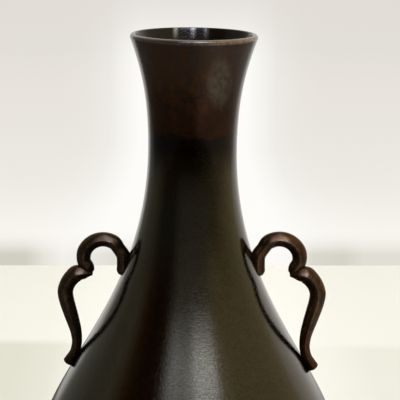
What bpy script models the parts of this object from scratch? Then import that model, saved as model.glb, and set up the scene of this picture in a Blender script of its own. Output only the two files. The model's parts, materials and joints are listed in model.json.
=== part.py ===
"""A bronze flower vase with two scroll ears, in metres, +Z up, standing on z = 0.

The body is one turned casting, open at the bottom. Each ear is a casting of its own, seated on
the shoulder and held by two pins that pass through the wall and are headed inside. A disc let
into the foot from below closes the bottom, and a fillet of solder seals it.
"""

import math

import bmesh
import bpy
from mathutils import Matrix, Vector

# Body, outer form. Drops are counted down from the mouth, heights up from the foot.
HEIGHT = 0.290
MOUTH_RADIUS = 0.0324
MOUTH_FLARE = math.radians(20.9)
MOUTH_PULL = 0.0217
WAIST_DROP = 0.0572
WAIST_RADIUS = 0.0222
NECK_PULL = 0.0806
BELLY_HEIGHT = 0.075
BELLY_RADIUS = 0.0772
SHOULDER_PULL = 0.0389
BASE_PULL = 0.043
BASE_SLOPE = math.radians(38)
BASE_RUN = 0.016
LIP_OUTER_ROUND = 0.0016
LIP_INNER_ROUND = 0.0011

# Body, wall and foot.
WALL = 0.0029
FOOT_HEIGHT = 0.010
FOOT_NECK_RADIUS = 0.0435
FOOT_RADIUS = 0.0462
FOOT_WALL = 0.0030
FOOT_ROUND = 0.0010

# Bottom disc and its solder, whose face is flat at a hollow of 0 and sharp at 1.
LEDGE_WIDTH = 0.0024
LEDGE_THICKNESS = 0.0024
DISC_THICKNESS = 0.0022
SOLDER_LEG = 0.0019
SOLDER_HOLLOW = 0.5

# Ears. The span runs straight from the seat of the upper foot to the seat of the lower one, and
# the lean turns the ear's drawing out from that line about the upper seat. The eye, the rods and
# their ridge are the left ear's, and grow with the right one's span. The bulge of a rod's end is
# a share of its radius there.
LEFT_EAR_DROP = 0.1136
LEFT_EAR_SPAN = 0.0516
LEFT_EAR_LEAN = math.radians(0.4)
RIGHT_EAR_DROP = 0.1126
RIGHT_EAR_SPAN = 0.0536
RIGHT_EAR_LEAN = math.radians(0.7)
EYE_RADIUS = 0.0065
ROD_RADIUS = 0.0037
RIDGE_RISE = 0.00045
END_BULGE = 0.5

# Pins that hold the ears, and the room between pieces that touch.
PIN_RADIUS = 0.0013
PIN_HEAD_RADIUS = 0.0030
PIN_HEAD_HEIGHT = 0.0013
PIN_DEPTH = 0.0026
FIT = 0.0003

# How finely curves are divided, and the distance under which two points are one.
TURNS = 48
PIN_TURNS = 16
NECK_STEPS = 7
SHOULDER_STEPS = 20
BASE_STEPS = 9
LIP_POINTS = 5
FOOT_POINTS = 4
FILLET_STEPS = 4
DOME_POINTS = 4
SECTION_POINTS = 7
ROUTE_STEPS = 2
HALVINGS = 40
WELD = 1e-6
SHARP_ANGLE = math.radians(35)

# The ear's routes, as drawn on the straight line between the seats of its feet. A point is
# (along the line, out from it, fullness): the first two are shares of the span, and fullness
# is how thick the rod is there beside its full radius.
EYE_CENTRE = (0.128, 0.208)
UPPER_FOOT = [(0.180, -0.036, 0.60), (0.150, -0.025, 0.92), (0.088, -0.002, 1.00), (0.010, 0.045, 0.97),
              (-0.036, 0.120, 0.92)]
ARCH_FROM = math.radians(186)
ARCH_TO = math.radians(84)
ARCH_POINTS = 5
ARCH_END = [(0.223, 0.373, 0.96), (0.252, 0.337, 0.95), (0.271, 0.299, 0.90), (0.282, 0.268, 0.70),
            (0.290, 0.245, 0.36)]
SCROLL = [(0.301, 0.236, 0.32), (0.322, 0.292, 0.80), (0.366, 0.366, 1.14), (0.425, 0.396, 1.13),
          (0.504, 0.409, 1.08), (0.584, 0.396, 1.07), (0.657, 0.347, 1.05), (0.734, 0.277, 1.00),
          (0.812, 0.203, 0.92), (0.888, 0.134, 0.81), (0.955, 0.087, 0.73), (1.020, 0.055, 0.69),
          (1.105, 0.036, 0.71), (1.188, 0.043, 0.76), (1.226, 0.050, 0.68)]
UPPER_PIN_ALONG = 0.066
LOWER_PIN_ALONG = 1.11

# Colour, roughness and metallic value of each bronze.
CAST_BRONZE = ((0.060, 0.042, 0.028), 0.28, 0.7)
EAR_BRONZE = ((0.075, 0.045, 0.030), 0.30, 0.7)
DISC_BRONZE = ((0.110, 0.078, 0.045), 0.45, 0.8)
PIN_BRONZE = ((0.240, 0.160, 0.080), 0.40, 0.9)
SOLDER = ((0.300, 0.290, 0.270), 0.50, 0.9)


def clear_scene():
    """Remove whatever the file holds."""
    for item in list(bpy.data.objects):
        bpy.data.objects.remove(item, do_unlink=True)


def bezier(start, start_pull, end_pull, end, count):
    """Points along a cubic curve, without its last point."""
    points = []
    for step in range(count):
        t = step / count
        s = 1 - t
        points.append(s**3 * start + 3 * s * s * t * start_pull + 3 * s * t * t * end_pull + t**3 * end)
    return points


def arc(centre, radius, start, end, count):
    """Points on a circle from one angle to another, both ends included."""
    angles = [start + (end - start) * step / (count - 1) for step in range(count)]
    return [centre + radius * Vector((math.cos(a), math.sin(a))) for a in angles]


def body_profile():
    """The outer form, (radius, height), from the mouth's edge down to the neck of the foot."""
    mouth = Vector((MOUTH_RADIUS, HEIGHT))
    waist = Vector((WAIST_RADIUS, HEIGHT - WAIST_DROP))
    belly = Vector((BELLY_RADIUS, BELLY_HEIGHT))
    foot_neck = Vector((FOOT_NECK_RADIUS, FOOT_HEIGHT))
    into_neck = mouth - MOUTH_PULL * Vector((math.sin(MOUTH_FLARE), math.cos(MOUTH_FLARE)))
    from_foot = foot_neck + BASE_RUN * Vector((math.cos(BASE_SLOPE), math.sin(BASE_SLOPE)))
    points = bezier(mouth, into_neck, waist + Vector((0, MOUTH_PULL)), waist, NECK_STEPS)
    out_of_neck = waist - Vector((0, NECK_PULL))
    points += bezier(waist, out_of_neck, belly + Vector((0, SHOULDER_PULL)), belly, SHOULDER_STEPS)
    points += bezier(belly, belly - Vector((0, BASE_PULL)), from_foot, foot_neck, BASE_STEPS)
    return points + [foot_neck]


def offset_profile(points, distance):
    """The same form moved sideways: out of the wall if the distance is positive."""
    moved = []
    for index, point in enumerate(points):
        before = points[max(index - 1, 0)]
        after = points[min(index + 1, len(points) - 1)]
        along = (after - before).normalized()
        moved.append(point + distance * Vector((-along.y, along.x)))
    return moved


def surface_at(height):
    """The point of the outer form at a height, and the direction square out of it there."""
    for upper, lower in zip(PROFILE, PROFILE[1:]):
        if lower.y <= height <= upper.y:
            share = (upper.y - height) / (upper.y - lower.y)
            along = (lower - upper).normalized()
            return upper.lerp(lower, share), Vector((-along.y, along.x))
    raise ValueError("the height is off the body")


def new_material(name, finish):
    """A plain metal in its own colour."""
    colour, roughness, metallic = finish
    material = bpy.data.materials.new(name)
    material.use_nodes = True
    shader = material.node_tree.nodes["Principled BSDF"]
    shader.inputs["Base Color"].default_value = (*colour, 1)
    shader.inputs["Roughness"].default_value = roughness
    shader.inputs["Metallic"].default_value = metallic
    return material


def new_object(name, mesh_builder, finish=None):
    """An object from a bmesh. With no finish it is a cutter or a guide, and stays out of the part."""
    mesh = bpy.data.meshes.new(name)
    bmesh.ops.recalc_face_normals(mesh_builder, faces=mesh_builder.faces)
    mesh_builder.to_mesh(mesh)
    mesh_builder.free()
    item = bpy.data.objects.new(name, mesh)
    bpy.context.scene.collection.objects.link(item)
    if finish is None:
        item.hide_render = True
        item.display_type = "WIRE"
    else:
        mesh.materials.append(new_material(name + "_finish", finish))
        mesh.shade_smooth()
        mesh.set_sharp_from_angle(angle=SHARP_ANGLE)
    return item


def turned(name, outline, turns, finish=None):
    """Spin a closed outline of (radius, height) points about the Z axis."""
    shape = bmesh.new()
    corners = [shape.verts.new((point[0], 0, point[1])) for point in outline]
    edges = [shape.edges.new(pair) for pair in zip(corners, corners[1:] + corners[:1])]
    bmesh.ops.spin(shape, geom=corners + edges, cent=(0, 0, 0), axis=(0, 0, 1), angle=math.tau, steps=turns,
                   use_merge=True)
    bmesh.ops.remove_doubles(shape, verts=shape.verts, dist=WELD)
    loose = [edge for edge in shape.edges if not edge.link_faces]
    bmesh.ops.delete(shape, geom=loose, context="EDGES")
    return new_object(name, shape, finish)


def cut(item, cutter, operation="DIFFERENCE"):
    """Add an exact Boolean to an object."""
    modifier = item.modifiers.new(cutter.name, "BOOLEAN")
    modifier.operation = operation
    modifier.solver = "EXACT"
    modifier.object = cutter


def lip_outline():
    """The mouth's edge, from the inner wall over to the outer one, rounded into both."""
    slant = math.sin(MOUTH_FLARE)
    upright = math.cos(MOUTH_FLARE)
    from_inner = (LIP_INNER_ROUND * (1 - slant) - WALL) / upright
    from_outer = LIP_OUTER_ROUND * (1 + slant) / upright
    inner_centre = Vector((MOUTH_RADIUS + from_inner, HEIGHT - LIP_INNER_ROUND))
    outer_centre = Vector((MOUTH_RADIUS - from_outer, HEIGHT - LIP_OUTER_ROUND))
    outline = arc(inner_centre, LIP_INNER_ROUND, math.pi - MOUTH_FLARE, math.pi / 2, LIP_POINTS)
    return outline + arc(outer_centre, LIP_OUTER_ROUND, math.pi / 2, -MOUTH_FLARE, LIP_POINTS)


def foot_outline():
    """The foot ring's cove, round edge and flat sole, then the ledge that the disc seats on."""
    bead = Vector((FOOT_RADIUS - FOOT_ROUND, FOOT_ROUND))
    width = bead.x - FOOT_NECK_RADIUS
    drop = FOOT_HEIGHT - bead.y - FOOT_ROUND
    quarter = arc(Vector((0, 0)), 1, 0, math.pi / 2, FOOT_POINTS)
    neck = Vector((FOOT_NECK_RADIUS, FOOT_HEIGHT))
    cove = [neck + Vector((width * (1 - point.x), -drop * point.y)) for point in quarter]
    edge = arc(bead, FOOT_ROUND, math.pi / 2, -math.pi / 2, FOOT_POINTS)
    sole = [Vector((FOOT_INNER_RADIUS, 0)), Vector((FOOT_INNER_RADIUS, LEDGE_UNDERSIDE))]
    ledge = [Vector((LEDGE_INNER_RADIUS, LEDGE_UNDERSIDE)), Vector((LEDGE_INNER_RADIUS, FOOT_HEIGHT))]
    return cove[1:-1] + edge + sole + ledge


def make_body():
    """The casting: mouth, neck, shoulder and belly, the foot ring and the ledge inside it."""
    lip = lip_outline()
    outside = [point for point in PROFILE if point.y < lip[-1].y]
    lining = [point for point in offset_profile(PROFILE, -WALL) if FOOT_HEIGHT < point.y < lip[0].y]
    return turned("vase_body", lip + outside + foot_outline() + lining[::-1], TURNS, CAST_BRONZE)


def make_base_disc():
    """The disc that closes the bottom, let up against the ledge inside the foot."""
    outline = [(0, DISC_TOP), (DISC_RADIUS, DISC_TOP), (DISC_RADIUS, DISC_BOTTOM), (0, DISC_BOTTOM)]
    return turned("base_plate", outline, TURNS, DISC_BRONZE)


def make_solder():
    """The hollow fillet of solder in the corner between the disc and the foot."""
    corner = Vector((DISC_RADIUS, DISC_BOTTOM - FIT))
    on_disc = corner - Vector((SOLDER_LEG, 0))
    on_foot = corner - Vector((0, SOLDER_LEG))
    hollow = ((on_disc + on_foot) / 2).lerp(corner, SOLDER_HOLLOW)
    outline = bezier(on_disc, hollow, hollow, on_foot, FILLET_STEPS) + [on_foot, corner]
    return turned("base_solder_ring", outline, TURNS, SOLDER)


class Ear:
    """Where one ear sits: its side, its size, and the line between the seats of its feet."""

    def __init__(self, side, direction, drop, span, lean):
        self.side = side
        self.direction = direction
        self.span = span
        self.growth = span / LEFT_EAR_SPAN
        self.upper_seat = surface_at(HEIGHT - drop)[0]
        self.along = (self.find_lower_seat() - self.upper_seat).normalized()
        self.along.rotate(Matrix.Rotation(lean, 2))
        self.out = Vector((-self.along.y, self.along.x))

    def find_lower_seat(self):
        """The point of the body's surface that lies one span from the upper seat."""
        high = self.upper_seat.y
        low = high - self.span
        for _ in range(HALVINGS):
            middle = (high + low) / 2
            if (surface_at(middle)[0] - self.upper_seat).length < self.span:
                high = middle
            else:
                low = middle
        return surface_at(low)[0]

    def place(self, along, out):
        """A point of the drawing, as (distance from the vase's axis, height)."""
        return self.upper_seat + along * self.span * self.along + out * self.span * self.out

    def station(self, along, out, fullness):
        """A point of a route with the rod's radius there."""
        point = self.place(along, out)
        return Vector((point.x, point.y, fullness * ROD_RADIUS * self.growth))

    def to_world(self, radius, height, depth=0.0):
        """A point in the ear's plane, or beside it by its depth."""
        return Vector((self.direction * radius, depth, height))


def arch_stations(ear):
    """The upper rod: out of its foot, round the eye, and in to the point where the rods meet."""
    centre = ear.place(*EYE_CENTRE)
    radius = (EYE_RADIUS + ROD_RADIUS) * ear.growth
    round_the_eye = []
    for turn in arc(Vector((0, 0)), radius, ARCH_FROM, ARCH_TO, ARCH_POINTS):
        point = centre + turn.x * ear.along + turn.y * ear.out
        round_the_eye.append(Vector((point.x, point.y, ROD_RADIUS * ear.growth)))
    foot = [ear.station(*point) for point in UPPER_FOOT]
    return foot + round_the_eye + [ear.station(*point) for point in ARCH_END]


def smooth_route(stations):
    """A smooth curve through the stations, radius included."""
    route = []
    for index in range(len(stations) - 1):
        before = stations[max(index - 1, 0)]
        here = stations[index]
        there = stations[index + 1]
        after = stations[min(index + 2, len(stations) - 1)]
        for step in range(ROUTE_STEPS):
            t = step / ROUTE_STEPS
            bend = 2 * before - 5 * here + 4 * there - after
            curl = 3 * here - before - 3 * there + after
            route.append((2 * here + (there - before) * t + bend * t * t + curl * t**3) / 2)
    return route + [stations[-1]]


def rod_section():
    """The rod's section for a radius of 1, (in the ear's plane, across it), ridged front and back."""
    ridge = 1 + RIDGE_RISE / ROD_RADIUS
    flank = math.asin(1 / ridge)
    half = arc(Vector((0, 0)), 1, -flank, flank, SECTION_POINTS) + [Vector((0, ridge))]
    return half + [-point for point in half]


def swept_rod(name, ear, stations, finish=None):
    """Sweep the rod's section along a route in the ear's plane, with rounded ends."""
    route = smooth_route(stations)
    section = rod_section()
    shape = bmesh.new()
    loops = []
    for index, here in enumerate(route):
        before = route[max(index - 1, 0)]
        after = route[min(index + 1, len(route) - 1)]
        heading = (after - before).xy.normalized()
        side = Vector((-heading.y, heading.x))
        ring = []
        for point in section:
            spot = here.xy + point.x * here.z * side
            ring.append(shape.verts.new(ear.to_world(spot.x, spot.y, point.y * here.z)))
        loops.append(ring)
    for ring, following in zip(loops, loops[1:]):
        for corner in range(len(section)):
            beside = (corner + 1) % len(section)
            shape.faces.new((ring[corner], ring[beside], following[beside], following[corner]))
    for ring, here, inward in ((loops[0], route[0], route[1]), (loops[-1], route[-1], route[-2])):
        outward = (here - inward).xy.normalized() * here.z * END_BULGE
        tip = shape.verts.new(ear.to_world(here.x + outward.x, here.y + outward.y))
        for corner in range(len(section)):
            shape.faces.new((ring[corner], ring[(corner + 1) % len(section)], tip))
    return new_object(name, shape, finish)


def make_seat_cutter():
    """The body's outer form as one solid, larger by the fit, which trims the ears' feet."""
    outline = offset_profile(PROFILE, FIT)
    outline = [Vector((0, HEIGHT))] + outline + [Vector((0, FOOT_HEIGHT))]
    return turned("seat_cutter", outline, TURNS)


def turned_along(name, outline, ear, height, turns, finish=None):
    """Turn an outline about the line square to the wall at a height. Zero is on the surface."""
    point, outward = surface_at(height)
    axis = ear.to_world(outward.x, outward.y)
    item = turned(name, outline, turns, finish)
    item.location = ear.to_world(point.x, point.y)
    item.rotation_euler = axis.to_track_quat("Z", "X").to_euler()
    return item


def make_pin(ear, place, along, body, handle):
    """A pin from inside the wall into the ear's foot, with its hole through both."""
    height = ear.place(along, 0).y
    depth = PIN_DEPTH * ear.growth
    top = depth + FIT
    inside = -(WALL + PIN_HEAD_RADIUS)
    hole = [(0, top), (PIN_RADIUS + FIT, top), (PIN_RADIUS + FIT, inside), (0, inside)]
    drill = turned_along(f"pin_drill_{ear.side}_{place}", hole, ear, height, PIN_TURNS)
    cut(body, drill)
    cut(handle, drill)
    wall_radius = surface_at(height)[0].x - WALL
    hollow = wall_radius - math.sqrt(wall_radius**2 - PIN_HEAD_RADIUS**2)
    under_head = -(WALL + FIT + hollow)
    quarter = arc(Vector((0, 0)), 1, -math.pi / 2, 0, DOME_POINTS)
    dome = [(PIN_HEAD_RADIUS * point.x, under_head + PIN_HEAD_HEIGHT * point.y) for point in quarter]
    outline = dome + [(PIN_RADIUS, under_head), (PIN_RADIUS, depth), (0, depth)]
    return turned_along(f"rivet_{ear.side}_{place}", outline, ear, height, PIN_TURNS, PIN_BRONZE)


def make_ear(ear, body, seat_cutter):
    """One ear: two rods joined where they meet, trimmed to the shoulder and pinned to it."""
    handle = swept_rod(f"handle_{ear.side}", ear, arch_stations(ear), EAR_BRONZE)
    scroll = swept_rod(f"scroll_{ear.side}", ear, [ear.station(*point) for point in SCROLL])
    cut(handle, scroll, "UNION")
    cut(handle, seat_cutter)
    make_pin(ear, "upper", UPPER_PIN_ALONG, body, handle)
    make_pin(ear, "lower", LOWER_PIN_ALONG, body, handle)


PROFILE = body_profile()
FOOT_INNER_RADIUS = FOOT_NECK_RADIUS - FOOT_WALL
LEDGE_UNDERSIDE = FOOT_HEIGHT - LEDGE_THICKNESS
LEDGE_INNER_RADIUS = FOOT_INNER_RADIUS - LEDGE_WIDTH
DISC_TOP = LEDGE_UNDERSIDE - FIT
DISC_BOTTOM = DISC_TOP - DISC_THICKNESS
DISC_RADIUS = FOOT_INNER_RADIUS - FIT

clear_scene()
vase_body = make_body()
make_base_disc()
make_solder()
shoulder_form = make_seat_cutter()
make_ear(Ear("left", -1, LEFT_EAR_DROP, LEFT_EAR_SPAN, LEFT_EAR_LEAN), vase_body, shoulder_form)
make_ear(Ear("right", 1, RIGHT_EAR_DROP, RIGHT_EAR_SPAN, RIGHT_EAR_LEAN), vase_body, shoulder_form)
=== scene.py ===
# %% [markdown]
# # A bronze flower vase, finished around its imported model
#
# The vase is a thin bronze casting with a scroll-shaped ear on each shoulder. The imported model
# holds its real shape and size. This lesson gives it smooth surfaces, its dark patina and the
# light that shows it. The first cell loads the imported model, which stays where it is.

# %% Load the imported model
import json
import math

import bpy
from mathutils import Matrix, Quaternion, Vector

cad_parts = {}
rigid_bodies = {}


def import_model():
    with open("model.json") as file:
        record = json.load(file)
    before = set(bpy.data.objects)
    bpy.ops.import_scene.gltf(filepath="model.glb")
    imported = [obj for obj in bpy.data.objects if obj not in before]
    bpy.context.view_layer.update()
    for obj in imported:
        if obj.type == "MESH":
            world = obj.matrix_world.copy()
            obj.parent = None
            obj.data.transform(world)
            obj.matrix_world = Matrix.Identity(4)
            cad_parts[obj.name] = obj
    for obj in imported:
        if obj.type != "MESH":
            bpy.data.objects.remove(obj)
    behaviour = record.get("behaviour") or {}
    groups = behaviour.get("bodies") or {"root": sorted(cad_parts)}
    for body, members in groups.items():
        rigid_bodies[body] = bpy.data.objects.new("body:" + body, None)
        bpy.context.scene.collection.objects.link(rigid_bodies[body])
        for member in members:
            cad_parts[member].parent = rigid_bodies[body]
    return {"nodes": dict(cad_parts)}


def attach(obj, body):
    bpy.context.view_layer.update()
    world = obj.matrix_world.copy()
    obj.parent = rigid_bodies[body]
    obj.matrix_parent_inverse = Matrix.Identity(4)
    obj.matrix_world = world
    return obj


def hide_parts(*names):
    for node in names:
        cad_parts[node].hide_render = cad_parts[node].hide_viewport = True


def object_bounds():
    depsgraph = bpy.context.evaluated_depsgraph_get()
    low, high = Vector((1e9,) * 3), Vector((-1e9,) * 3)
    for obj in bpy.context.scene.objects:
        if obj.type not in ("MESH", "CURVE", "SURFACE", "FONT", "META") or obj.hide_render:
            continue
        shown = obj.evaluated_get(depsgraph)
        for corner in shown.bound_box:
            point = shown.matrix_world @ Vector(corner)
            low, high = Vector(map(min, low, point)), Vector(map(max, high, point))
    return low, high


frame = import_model()
cad_low, cad_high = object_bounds()
print("model size, mm:", [round(1000 * (high - low), 1) for low, high in zip(cad_low, cad_high)])

# %% [markdown]
# ## The camera
#
# The photograph looks down on the mouth by 6 degrees from about 0.9 m away. The mouth's ellipse
# and the vase's outline gave the distance, the pitch and a slight roll, so the camera is placed
# by those values and not by eye. Its long lens sees the outline nearly straight on.

# %% Camera
MOUTH_HEIGHT = cad_high.z
CAMERA_DISTANCE = 0.900
CAMERA_ELEVATION = math.radians(6.11)
CAMERA_SIDE = 0.0041
CAMERA_PITCH = math.radians(11.34)
CAMERA_ROLL = math.radians(0.81)
PHOTO_PIXELS = 400
FOCAL_PIXELS = 1816.9
SENSOR_MM = 36.0

camera_data = bpy.data.cameras.new("camera")
camera_data.sensor_width = SENSOR_MM
camera_data.lens = SENSOR_MM * FOCAL_PIXELS / PHOTO_PIXELS
camera = bpy.data.objects.new("camera", camera_data)
bpy.context.collection.objects.link(camera)
camera_back = CAMERA_DISTANCE * math.cos(CAMERA_ELEVATION)
camera_rise = CAMERA_DISTANCE * math.sin(CAMERA_ELEVATION)
camera.location = (CAMERA_SIDE, -camera_back, MOUTH_HEIGHT + camera_rise)
camera.rotation_mode = "QUATERNION"
looking = Vector((0, math.cos(CAMERA_PITCH), -math.sin(CAMERA_PITCH)))
camera.rotation_quaternion = looking.to_track_quat("-Z", "Y") @ Quaternion((0, 0, 1), CAMERA_ROLL)
bpy.context.scene.camera = camera
bpy.context.scene.view_settings.view_transform = "Standard"
print("camera at", [round(value, 4) for value in camera.location])
print("lens:", round(camera_data.lens, 1), "mm")

# %% [markdown]
# ## Small helpers
#
# Operators act on whatever is selected, so each step first selects its own piece and nothing
# else. A finished piece keeps its place in its mesh, with its object at the origin.

# %% Selecting and finishing
WELD = 1e-6
SHARP_ANGLE = math.radians(32)


def select_only(*pieces):
    """Leave nothing selected but these objects, the last of them active."""
    bpy.ops.object.select_all(action="DESELECT")
    for piece in pieces:
        piece.select_set(True)
        bpy.context.view_layer.objects.active = piece


def settle(piece):
    """Move a piece's place, turn and scale into its mesh, and shade it smooth between its edges."""
    select_only(piece)
    bpy.ops.object.transform_apply(location=True, rotation=True, scale=True)
    bpy.ops.object.shade_smooth_by_angle(angle=SHARP_ANGLE)


def triangles(piece):
    """How many triangles the piece's mesh has."""
    return sum(len(face.vertices) - 2 for face in piece.data.polygons)


def apply_boolean(piece, other, operation):
    """Cut the other object from a piece or add it, then delete the other object."""
    modifier = piece.modifiers.new("boolean", "BOOLEAN")
    modifier.operation = operation
    modifier.solver = "EXACT"
    modifier.object = other
    select_only(piece)
    bpy.ops.object.modifier_apply(modifier=modifier.name)
    bpy.data.objects.remove(other, do_unlink=True)


# %% [markdown]
# ## The turned body
#
# A potter or founder knows this form by its outline, so it is drawn as one. A cubic curve runs
# from the mouth to the waist of the neck, a second one swells into the belly, and a third draws
# in to the foot. The inner wall runs one wall's thickness inside it. Spinning the closed outline
# about the vase's axis makes the whole casting in one step, which no stack of rings would match.

# %% Curves of the outer form
MOUTH_RADIUS = 0.0324
MOUTH_FLARE = math.radians(20.9)
MOUTH_PULL = 0.0217
WAIST_DROP = 0.0572
WAIST_RADIUS = 0.0222
NECK_PULL = 0.0806
BELLY_HEIGHT = 0.075
BELLY_RADIUS = cad_high.x
SHOULDER_PULL = 0.0389
BASE_PULL = 0.043
BASE_SLOPE = math.radians(38)
BASE_RUN = 0.016
FOOT_HEIGHT = 0.010
FOOT_NECK_RADIUS = 0.0435
NECK_STEPS = 24
SHOULDER_STEPS = 60
BASE_STEPS = 28


def bezier(start, start_pull, end_pull, end, count):
    """Points along a cubic curve, without its last point."""
    points = []
    for step in range(count):
        t = step / count
        s = 1 - t
        points.append(s**3 * start + 3 * s * s * t * start_pull + 3 * s * t * t * end_pull + t**3 * end)
    return points


def outer_form():
    """The outer form as (radius, height), from the mouth's edge down to the neck of the foot."""
    mouth = Vector((MOUTH_RADIUS, MOUTH_HEIGHT))
    waist = Vector((WAIST_RADIUS, MOUTH_HEIGHT - WAIST_DROP))
    belly = Vector((BELLY_RADIUS, BELLY_HEIGHT))
    foot_neck = Vector((FOOT_NECK_RADIUS, FOOT_HEIGHT))
    into_neck = mouth - MOUTH_PULL * Vector((math.sin(MOUTH_FLARE), math.cos(MOUTH_FLARE)))
    into_waist = waist + Vector((0, MOUTH_PULL))
    from_waist = waist - Vector((0, NECK_PULL))
    into_belly = belly + Vector((0, SHOULDER_PULL))
    from_belly = belly - Vector((0, BASE_PULL))
    from_foot = foot_neck + BASE_RUN * Vector((math.cos(BASE_SLOPE), math.sin(BASE_SLOPE)))
    points = bezier(mouth, into_neck, into_waist, waist, NECK_STEPS)
    points += bezier(waist, from_waist, into_belly, belly, SHOULDER_STEPS)
    points += bezier(belly, from_belly, from_foot, foot_neck, BASE_STEPS)
    return points + [foot_neck]


OUTER_FORM = outer_form()
print("outer form:", len(OUTER_FORM), "points")

# %% Lip, foot and lining
WALL = 0.0029
LIP_OUTER_ROUND = 0.0016
LIP_INNER_ROUND = 0.0011
FOOT_RADIUS = 0.0462
FOOT_WALL = 0.0030
FOOT_ROUND = 0.0010
LEDGE_WIDTH = 0.0024
LEDGE_THICKNESS = 0.0024
LIP_INNER_POINTS = 12
LIP_OUTER_POINTS = 9
COVE_POINTS = 10
FOOT_EDGE_POINTS = 9


def arc(centre, radius, start, end, count):
    """Points on a circle from one angle to another, both ends included."""
    angles = [start + (end - start) * step / (count - 1) for step in range(count)]
    return [centre + radius * Vector((math.cos(a), math.sin(a))) for a in angles]


def moved_in(points, distance):
    """The same form, moved square to itself towards the vase's axis."""
    moved = []
    for index, point in enumerate(points):
        before = points[max(index - 1, 0)]
        after = points[min(index + 1, len(points) - 1)]
        along = (after - before).normalized()
        moved.append(point - distance * Vector((-along.y, along.x)))
    return moved


def lip_outline():
    """The mouth's edge, from the inner wall over to the outer one, rounded into both."""
    slant = math.sin(MOUTH_FLARE)
    upright = math.cos(MOUTH_FLARE)
    from_inner = (LIP_INNER_ROUND * (1 - slant) - WALL) / upright
    from_outer = LIP_OUTER_ROUND * (1 + slant) / upright
    inner = Vector((MOUTH_RADIUS + from_inner, MOUTH_HEIGHT - LIP_INNER_ROUND))
    outer = Vector((MOUTH_RADIUS - from_outer, MOUTH_HEIGHT - LIP_OUTER_ROUND))
    outline = arc(inner, LIP_INNER_ROUND, math.pi - MOUTH_FLARE, math.pi / 2, LIP_INNER_POINTS)
    return outline + arc(outer, LIP_OUTER_ROUND, math.pi / 2, -MOUTH_FLARE, LIP_OUTER_POINTS)


def foot_outline():
    """The foot ring's cove, round edge and flat sole, then the ledge that the disc seats on."""
    bead = Vector((FOOT_RADIUS - FOOT_ROUND, FOOT_ROUND))
    width = bead.x - FOOT_NECK_RADIUS
    drop = FOOT_HEIGHT - bead.y - FOOT_ROUND
    quarter = arc(Vector((0, 0)), 1, 0, math.pi / 2, COVE_POINTS)
    neck = Vector((FOOT_NECK_RADIUS, FOOT_HEIGHT))
    cove = [neck + Vector((width * (1 - point.x), -drop * point.y)) for point in quarter]
    edge = arc(bead, FOOT_ROUND, math.pi / 2, -math.pi / 2, FOOT_EDGE_POINTS)
    inside = FOOT_NECK_RADIUS - FOOT_WALL
    ledge_inside = inside - LEDGE_WIDTH
    underside = FOOT_HEIGHT - LEDGE_THICKNESS
    ledge = [(inside, 0), (inside, underside), (ledge_inside, underside), (ledge_inside, FOOT_HEIGHT)]
    return cove[1:-1] + edge + [Vector(point) for point in ledge]


lip = lip_outline()
outside = [point for point in OUTER_FORM if point.y < lip[-1].y]
lining = [point for point in moved_in(OUTER_FORM, WALL) if FOOT_HEIGHT < point.y < lip[0].y]
body_outline = lip + outside + foot_outline() + lining[::-1]
print("outline of the body:", len(body_outline), "points")

# %% Spin the outline
TURNS = 224


def spun(name, outline):
    """Extrude one vertex along a closed outline of (radius, height), then spin it about the axis."""
    bpy.ops.object.select_all(action="DESELECT")
    bpy.ops.mesh.primitive_plane_add(size=WELD, location=(outline[0].x, 0, outline[0].y))
    piece = bpy.context.object
    piece.name = piece.data.name = name
    bpy.ops.object.transform_apply(location=True, rotation=False, scale=False)
    bpy.ops.object.mode_set(mode="EDIT")
    bpy.ops.mesh.merge(type="CENTER")
    for here, there in zip(outline, outline[1:] + outline[:1]):
        step = (there.x - here.x, 0, there.y - here.y)
        bpy.ops.mesh.extrude_region_move(TRANSFORM_OT_translate={"value": step})
    bpy.ops.mesh.select_all(action="SELECT")
    bpy.ops.mesh.remove_doubles(threshold=WELD)
    bpy.ops.mesh.spin(steps=TURNS, angle=math.tau, center=(0, 0, 0), axis=(0, 0, 1))
    bpy.ops.mesh.select_all(action="SELECT")
    bpy.ops.mesh.remove_doubles(threshold=WELD)
    bpy.ops.mesh.delete_loose(use_verts=True, use_edges=True, use_faces=False)
    bpy.ops.mesh.select_all(action="SELECT")
    bpy.ops.mesh.normals_make_consistent(inside=False)
    bpy.ops.object.mode_set(mode="OBJECT")
    return piece


bronze_body = spun("bronze_body", body_outline)
print("body:", triangles(bronze_body), "triangles")

# %% [markdown]
# ## The ears
#
# Each ear is a casting of its own, made of two rods that meet at a cusp. The upper rod leaves
# the neck, rounds the eye and ends on the lower one, which sweeps out and down to a tail that
# lies on the shoulder. Both have a soft ridge front and back. A rod is a curve drawn flat, with
# a ridged section carried along it and the curve's radius for its swelling. That is how one
# would draw the ear on paper, and it is then stood up in the vase's middle plane.

# %% Section of the rods
ROD_RADIUS = 0.0037
RIDGE_RISE = 0.00045
RIDGE_ROUND = 0.00115
RIDGE_SLOPE = 0.5
SECTION_STEPS = 9

bpy.ops.object.select_all(action="DESELECT")
bpy.ops.curve.primitive_bezier_circle_add(radius=ROD_RADIUS)
rod_section = bpy.context.object
rod_section.data.resolution_u = SECTION_STEPS
for knot in rod_section.data.splines[0].bezier_points:
    if abs(knot.co.y) > abs(knot.co.x):
        side = math.copysign(1, knot.co.y)
        knot.co.y = side * (ROD_RADIUS + RIDGE_RISE)
        lean = Vector((RIDGE_ROUND, -side * RIDGE_ROUND * RIDGE_SLOPE, 0))
        knot.handle_left_type = knot.handle_right_type = "FREE"
        toward_left = 1 if knot.handle_left.x > knot.co.x else -1
        knot.handle_left = knot.co + Vector((toward_left * lean.x, lean.y, 0))
        knot.handle_right = knot.co + Vector((-toward_left * lean.x, lean.y, 0))
print("rod section:", len(rod_section.data.splines[0].bezier_points), "knots")

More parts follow.
